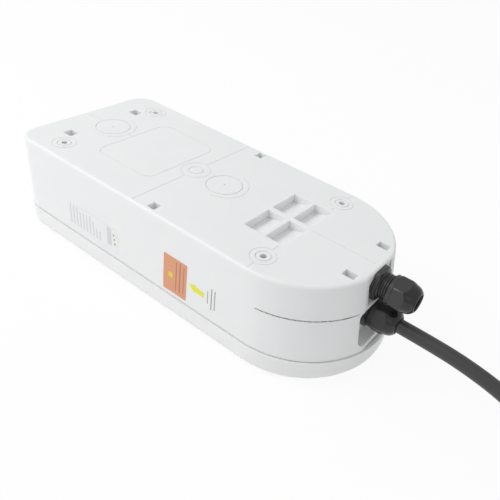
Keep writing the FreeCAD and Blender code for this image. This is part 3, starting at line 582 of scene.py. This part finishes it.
    def turn(self, item, angle, z):
        """Turn a nut about its own axis."""
        pick(item)
        bpy.ops.transform.rotate(value=angle, orient_axis="X", center_override=(0, 0, z))
        settle(item)

    def second(self, item, name, shift):
        """Copy of a piece with its own mesh, moved to the other gland."""
        copy = item.copy()
        copy.data = item.data.copy()
        copy.name = name
        copy.data.name = name
        bpy.context.collection.objects.link(copy)
        pick(copy)
        bpy.ops.transform.translate(value=shift)
        settle(copy)
        return copy

    def execute(self, context):
        settings = context.scene.charger_glands
        low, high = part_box("supply_gland_body")
        wall_x, z = high.x - self.body_reach, (low.z + high.z) / 2
        low2, high2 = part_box("cable_gland_body")
        shift = Vector((high2.x - high.x, 0, (low2.z + high2.z) / 2 - z))
        body = self.body(settings, wall_x, z)
        body.name = body.data.name = "supply_gland_threaded_body"
        body2 = self.second(body, "cable_gland_threaded_body", shift)
        nut_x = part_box("supply_gland_cap_nut")[0].x
        nut = self.nut(settings, nut_x, z)
        nut.name = nut.data.name = "supply_gland_domed_nut"
        nut_shift = Vector((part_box("cable_gland_cap_nut")[0].x - nut_x, 0, shift.z))
        nut2 = self.second(nut, "cable_gland_domed_nut", nut_shift)
        self.turn(nut, settings.supply_nut_turn, z)
        self.turn(nut2, settings.cable_nut_turn, z + shift.z)
        rides = [(body, "case", "supply_gland_body"), (body2, "case", "cable_gland_body"),
                 (nut, "supply_nut", "supply_gland_cap_nut"), (nut2, "cable_nut", "cable_gland_cap_nut")]
        for item, carrier, node in rides:
            if carrier == "case":
                dress(item, "gland_polyamide")
            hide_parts(node)
            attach(item, carrier)
        return {"FINISHED"}


class CHARGER_OT_labels(bpy.types.Operator):
    """Lay the plain films and printed bars on the near side wall"""

    bl_idname = "charger.labels"
    bl_label = "Label fields"

    # Name, surface, left and right X, lower and upper Z, turn in degrees, layer; in mm
    fields = [
        ("rating_film", "label_film", -141.0, -62.0, 33.8, 62.6, 0.0, 0),
        ("rating_block", "grey_print", -78.2, -71.4, 40.6, 61.0, 0.0, 1),
        ("rating_mark_1", "olive_print", -69.4, -67.0, 53.6, 56.2, 0.0, 1),
        ("rating_mark_2", "olive_print", -68.4, -66.2, 49.0, 51.4, 0.0, 1),
        ("rating_mark_3", "olive_print", -68.0, -65.4, 43.4, 46.4, 0.0, 1),
        ("orange_field", "orange_film", 4.0, 34.6, 32.2, 73.8, -0.7, 0),
        ("orange_spot", "amber_film", 11.0, 16.6, 49.6, 55.4, -0.7, 1),
        ("orange_line_1", "rust_print", 20.4, 21.6, 36.6, 70.4, -0.7, 1),
        ("orange_line_2", "rust_print", 25.0, 26.6, 36.0, 71.6, -0.7, 1),
        ("orange_line_3", "rust_print", 30.2, 31.2, 37.6, 69.8, -0.7, 1),
        ("side_line_1", "dark_print", 61.2, 62.1, 46.0, 60.4, 1.4, 0),
        ("side_line_2", "dark_print", 65.8, 66.9, 41.0, 65.3, 1.4, 0),
        ("side_line_3", "dark_print", 69.9, 70.9, 42.3, 64.6, 1.4, 0),
    ]
    # The bars of the rating field: their upper ends, their lower end, the first one's place, the step
    # from one to the next and their width, in mm
    rating_tops = [61.0, 60.4, 60.8, 57.4, 58.2, 58.8, 59.4, 56.0, 50.0, 49.4]
    rating_bottom = 38.0
    rating_from = -137.4
    rating_step = 5.2
    rating_width = 2.0
    # A film's largest corner radius in mm, and the largest share of its shorter side
    corner_radius = 1.0
    corner_share = 0.2
    # How far the side wall leans in over its height and how deep a film is let into it, in metres
    wall_draft = 0.0045
    let_in = 0.00001
    # Yellow pointer: length and width of its shaft, where its head starts, length and spread of the
    # head, the share of the head's width left at the tip, the pointer's place and its turn, in metres
    shaft = (0.0118, 0.0056)
    head_step = 0.0002
    head_length = 0.0072
    head_spread = 1.65
    tip_share = 0.05
    pointer_place = (0.0510, 0.0530)
    pointer_turn = math.radians(6.0)

    def wall_y(self, z):
        """Y of the drafted near side wall at a height."""
        low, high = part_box("rear_housing")
        share = (z - low.z) / (high.z - low.z)
        return low.y + self.wall_draft * share

    def lean(self, bottom, top):
        """Angle at which the wall leans in between two heights."""
        return math.atan2(self.wall_y(top) - self.wall_y(bottom), top - bottom)

    def film(self, name, left, right, bottom, top, turn, base, thickness, corner, material):
        """One thin field on the wall: a plane laid on it, corners rounded, given its thickness."""
        clear_selection()
        middle = (top + bottom) / 2
        bpy.ops.mesh.primitive_plane_add(size=1.0, location=(0, 0, 0), rotation=(0, 0, 0))
        item = named(name)
        item.scale = (right - left, top - bottom, 1.0)
        settle(item)
        bpy.ops.object.mode_set(mode="EDIT")
        bpy.ops.mesh.select_mode(type="VERT")
        bpy.ops.mesh.select_all(action="SELECT")
        bpy.ops.mesh.bevel(offset=corner, segments=CORNER_STEPS, affect="VERTICES")
        bpy.ops.mesh.select_all(action="SELECT")
        bpy.ops.mesh.extrude_region_move(TRANSFORM_OT_translate={"value": (0, 0, thickness)})
        bpy.ops.object.mode_set(mode="OBJECT")
        upright = Matrix.Rotation(math.pi / 2 - self.lean(bottom, top), 4, "X")
        item.matrix_world = Matrix.Rotation(-turn, 4, "Y") @ upright
        item.location = ((left + right) / 2, self.wall_y(middle) - base, middle)
        settle(item)
        tidy_mesh(item)
        dress(item, material)
        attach(item, "case")
        return item

    def execute(self, context):
        settings = context.scene.charger_labels
        film, rise = settings.film, settings.print_rise
        fields = list(self.fields)
        for index, top in enumerate(self.rating_tops):
            name = "rating_line_%d" % (index + 1)
            left = self.rating_from + self.rating_step * index
            right = left + self.rating_width
            fields.append((name, "grey_print", left, right, self.rating_bottom, top, 0.0, 1))
        for name, material, left, right, bottom, top, turn, layer in fields:
            base = -self.let_in + (film if layer else 0.0)
            thickness = rise if layer or "line" in name else film
            share = self.corner_share
            corner = min(self.corner_radius, share * (right - left), share * (top - bottom)) * MM
            self.film(name, left * MM, right * MM, bottom * MM, top * MM, math.radians(turn),
                      base, thickness, corner, material)
        self.pointer(film)
        return {"FINISHED"}

    def pointer(self, thickness):
        """Plain pointing shape between the orange field and the bars."""
        clear_selection()
        bpy.ops.mesh.primitive_plane_add(size=1.0, location=(0, 0, 0))
        item = named("yellow_pointer")
        item.scale = (*self.shaft, 1.0)
        settle(item)
        left = min(vertex.co.x for vertex in item.data.vertices)
        for vertex in item.data.vertices:
            vertex.select = vertex.co.x < left + NEAR
        for edge in item.data.edges:
            edge.select = all(item.data.vertices[index].select for index in edge.vertices)
        for polygon in item.data.polygons:
            polygon.select = False
        bpy.ops.object.mode_set(mode="EDIT")
        step, head = self.head_step, self.head_length
        bpy.ops.mesh.extrude_region_move(TRANSFORM_OT_translate={"value": (step, 0, 0)})
        bpy.ops.transform.resize(value=(1, self.head_spread, 1), center_override=(left, 0, 0))
        bpy.ops.mesh.extrude_region_move(TRANSFORM_OT_translate={"value": (-head, 0, 0)})
        bpy.ops.transform.resize(value=(1, self.tip_share, 1), center_override=(left + step - head, 0, 0))
        bpy.ops.mesh.select_all(action="SELECT")
        bpy.ops.mesh.extrude_region_move(TRANSFORM_OT_translate={"value": (0, 0, thickness)})
        bpy.ops.object.mode_set(mode="OBJECT")
        x, z = self.pointer_place
        upright = Matrix.Rotation(math.pi / 2 - self.lean(z, z + self.head_length), 4, "X")
        item.matrix_world = (
            Matrix.Translation((x, self.wall_y(z) + self.let_in, z))
            @ Matrix.Rotation(self.pointer_turn, 4, "Y") @ upright)
        settle(item)
        tidy_mesh(item)
        dress(item, "yellow_film")
        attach(item, "case")


class CHARGER_OT_cord(bpy.types.Operator):
    """Lay the charging cable from its gland through the tied coil to the connector"""

    bl_idname = "charger.cord"
    bl_label = "Charging cable"

    # Steps of the mesh between two control points and round a quarter of the cable
    steps_along = 6
    steps_round = 6

    def coil_points(self, settings):
        """Control points of the coil: turn after turn, each in its own place in the bundle."""
        count = settings.turns * settings.points_per_turn
        step = 2 * math.pi / settings.points_per_turn
        points = []
        for index in range(count):
            angle = (index + 0.5) * step
            radius, height = COIL_TURNS[0]
            for number, (next_radius, next_height) in enumerate(COIL_TURNS[1:]):
                start = settings.first_step + number * settings.step_every
                share = min(1.0, max(0.0, (angle - start) / settings.step_over))
                share = share * share * (3 - 2 * share)
                last_radius, last_height = COIL_TURNS[number]
                radius += (next_radius - last_radius) * share
                height += (next_height - last_height) * share
            reach = radius * MM / math.cos(step / 2)
            around = angle - math.pi / 2
            points.append((settings.coil_x + reach * math.cos(around),
                           settings.coil_y + reach * math.sin(around), height * MM))
        return points

    def execute(self, context):
        settings = context.scene.charger_cord
        points = [Vector(point) * MM for point in CABLE_ROUTE]
        points += [Vector(point) for point in self.coil_points(settings)]
        points += [Vector(point) * MM for point in LEAD_ROUTE]
        data = bpy.data.curves.new("charging_cord", "CURVE")
        data.dimensions = "3D"
        data.resolution_u = self.steps_along
        data.bevel_depth = settings.diameter / 2
        data.bevel_resolution = self.steps_round
        data.use_fill_caps = True
        spline = data.splines.new("NURBS")
        spline.points.add(len(points) - 1)
        for slot, point in zip(spline.points, points):
            slot.co = (*point, 1.0)
        spline.order_u = 3
        spline.use_endpoint_u = True
        spline.use_smooth = True
        cord = bpy.data.objects.new("charging_cord", data)
        context.collection.objects.link(cord)
        dress(cord, "cable_sheath")
        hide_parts("charging_cable", "plug_lead", "cable_coil")
        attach(cord, "case")
        return {"FINISHED"}


class CHARGER_OT_stage(bpy.types.Operator):
    """Set up the white floor, the soft light and the camera"""

    bl_idname = "charger.stage"
    bl_label = "Studio and camera"

    # Width of the camera's sensor in mm, the nearest that it sees and the floor's size and height in metres
    sensor = 36.0
    nearest = 0.01
    floor_size = 12.0
    floor_z = -0.0003
    paper_colour = (0.93, 0.93, 0.93, 1)
    # Soft boxes: size, place and the point that they shine at, in metres
    key_box = (1.1, (-1.1, -0.9, 1.5), (0, 0, 0.05))
    fill_box = (0.5, (0.9, -1.1, 0.9), (0.15, 0, 0.05))

    def camera(self, context, settings):
        """Place the camera on the direction from the case, slid sideways and turned about its axis."""
        azimuth, elevation, roll = settings.azimuth, settings.elevation, settings.roll
        back = Vector((math.sin(azimuth) * math.cos(elevation),
                       -math.cos(azimuth) * math.cos(elevation), math.sin(elevation)))
        level = Vector((math.cos(azimuth), math.sin(azimuth), 0))
        upright = back.cross(level)
        right = math.cos(roll) * level + math.sin(roll) * upright
        up = -math.sin(roll) * level + math.cos(roll) * upright
        place = back * settings.distance + right * settings.slide_right + up * settings.slide_up
        data = bpy.data.cameras.new("camera")
        data.sensor_width = self.sensor
        data.lens = settings.lens
        data.shift_x = settings.shift_x
        data.shift_y = settings.shift_y
        data.clip_start = self.nearest
        camera = bpy.data.objects.new("camera", data)
        camera.matrix_world = Matrix((
            (right.x, up.x, back.x, place.x), (right.y, up.y, back.y, place.y),
            (right.z, up.z, back.z, place.z), (0, 0, 0, 1)))
        context.collection.objects.link(camera)
        context.scene.camera = camera

    def white_to_camera(self, nodes):
        """1 for rays that come from the camera or off glossy or clear surfaces, otherwise 0."""
        path = nodes.new("ShaderNodeLightPath")
        links = path.id_data.links
        largest = path.outputs["Is Camera Ray"]
        for output in ("Is Glossy Ray", "Is Transmission Ray"):
            joined = nodes.new("ShaderNodeMath")
            joined.operation = "MAXIMUM"
            links.new(largest, joined.inputs[0])
            links.new(path.outputs[output], joined.inputs[1])
            largest = joined.outputs["Value"]
        return largest

    def floor(self, settings):
        """White paper that keeps the shadow and looks nearly white to the camera."""
        clear_selection()
        bpy.ops.mesh.primitive_plane_add(size=self.floor_size, location=(0, 0, self.floor_z))
        floor = named("studio_floor")
        material = bpy.data.materials.new("studio_floor")
        material.use_nodes = True
        nodes, links = material.node_tree.nodes, material.node_tree.links
        nodes.clear()
        output = nodes.new("ShaderNodeOutputMaterial")
        paper = nodes.new("ShaderNodeBsdfDiffuse")
        paper.inputs["Color"].default_value = self.paper_colour
        white = nodes.new("ShaderNodeEmission")
        white.inputs["Color"].default_value = (1, 1, 1, 1)
        share = nodes.new("ShaderNodeMath")
        share.operation = "MULTIPLY"
        share.inputs[1].default_value = settings.white_share
        mix = nodes.new("ShaderNodeMixShader")
        links.new(self.white_to_camera(nodes), share.inputs[0])
        links.new(share.outputs["Value"], mix.inputs["Fac"])
        links.new(paper.outputs["BSDF"], mix.inputs[1])
        links.new(white.outputs["Emission"], mix.inputs[2])
        links.new(mix.outputs["Shader"], output.inputs["Surface"])
        floor.data.materials.append(material)

    def sky(self, context, settings):
        """Even white light from all round, with a plain white background behind the floor."""
        world = context.scene.world or bpy.data.worlds.new("studio")
        context.scene.world = world
        world.use_nodes = True
        nodes, links = world.node_tree.nodes, world.node_tree.links
        nodes.clear()
        output = nodes.new("ShaderNodeOutputWorld")
        light = nodes.new("ShaderNodeBackground")
        light.inputs["Color"].default_value = (1, 1, 1, 1)
        light.inputs["Strength"].default_value = settings.sky
        white = nodes.new("ShaderNodeBackground")
        white.inputs["Color"].default_value = (1, 1, 1, 1)
        white.inputs["Strength"].default_value = 1.0
        mix = nodes.new("ShaderNodeMixShader")
        links.new(nodes.new("ShaderNodeLightPath").outputs["Is Camera Ray"], mix.inputs["Fac"])
        links.new(light.outputs["Background"], mix.inputs[1])
        links.new(white.outputs["Background"], mix.inputs[2])
        links.new(mix.outputs["Shader"], output.inputs["Surface"])

    def soft_box(self, context, name, power, size, place, aim):
        """Square lamp at a place, turned towards the point that it lights."""
        data = bpy.data.lights.new(name, "AREA")
        data.shape = "SQUARE"
        data.size = size
        data.energy = power
        lamp = bpy.data.objects.new(name, data)
        lamp.location = place
        towards = Vector(aim) - Vector(place)
        lamp.rotation_euler = towards.to_track_quat("-Z", "Y").to_euler()
        context.collection.objects.link(lamp)

    def execute(self, context):
        settings = context.scene.charger_stage
        self.camera(context, settings)
        self.floor(settings)
        self.sky(context, settings)
        self.soft_box(context, "key", settings.key, *self.key_box)
        self.soft_box(context, "fill", settings.fill, *self.fill_box)
        context.scene.view_settings.view_transform = "Standard"
        return {"FINISHED"}


class CHARGER_PT_dressing(bpy.types.Panel):
    """Lists the steps that dress the charger"""

    bl_label = "Charger"
    bl_idname = "CHARGER_PT_dressing"
    bl_space_type = "VIEW_3D"
    bl_region_type = "UI"
    bl_category = "Charger"

    def draw(self, context):
        for operator in STEPS:
            self.layout.operator(operator.bl_idname)


STEPS = (CHARGER_OT_finishes, CHARGER_OT_glands, CHARGER_OT_labels, CHARGER_OT_cord, CHARGER_OT_stage)
GROUPS = {
    "charger_finishes": FinishSettings,
    "charger_glands": GlandSettings,
    "charger_labels": LabelSettings,
    "charger_cord": CordSettings,
    "charger_stage": StageSettings,
}


def register():
    for group in GROUPS.values():
        bpy.utils.register_class(group)
    for name, group in GROUPS.items():
        setattr(bpy.types.Scene, name, bpy.props.PointerProperty(type=group))
    for operator in STEPS:
        bpy.utils.register_class(operator)
    bpy.utils.register_class(CHARGER_PT_dressing)


def unregister():
    bpy.utils.unregister_class(CHARGER_PT_dressing)
    for operator in reversed(STEPS):
        bpy.utils.unregister_class(operator)
    for name, group in reversed(list(GROUPS.items())):
        delattr(bpy.types.Scene, name)
        bpy.utils.unregister_class(group)


def main():
    register()
    bpy.ops.charger.finishes()
    bpy.ops.charger.glands()
    bpy.ops.charger.labels()
    bpy.ops.charger.cord()
    bpy.ops.charger.stage()


if __name__ == "__main__":
    main()
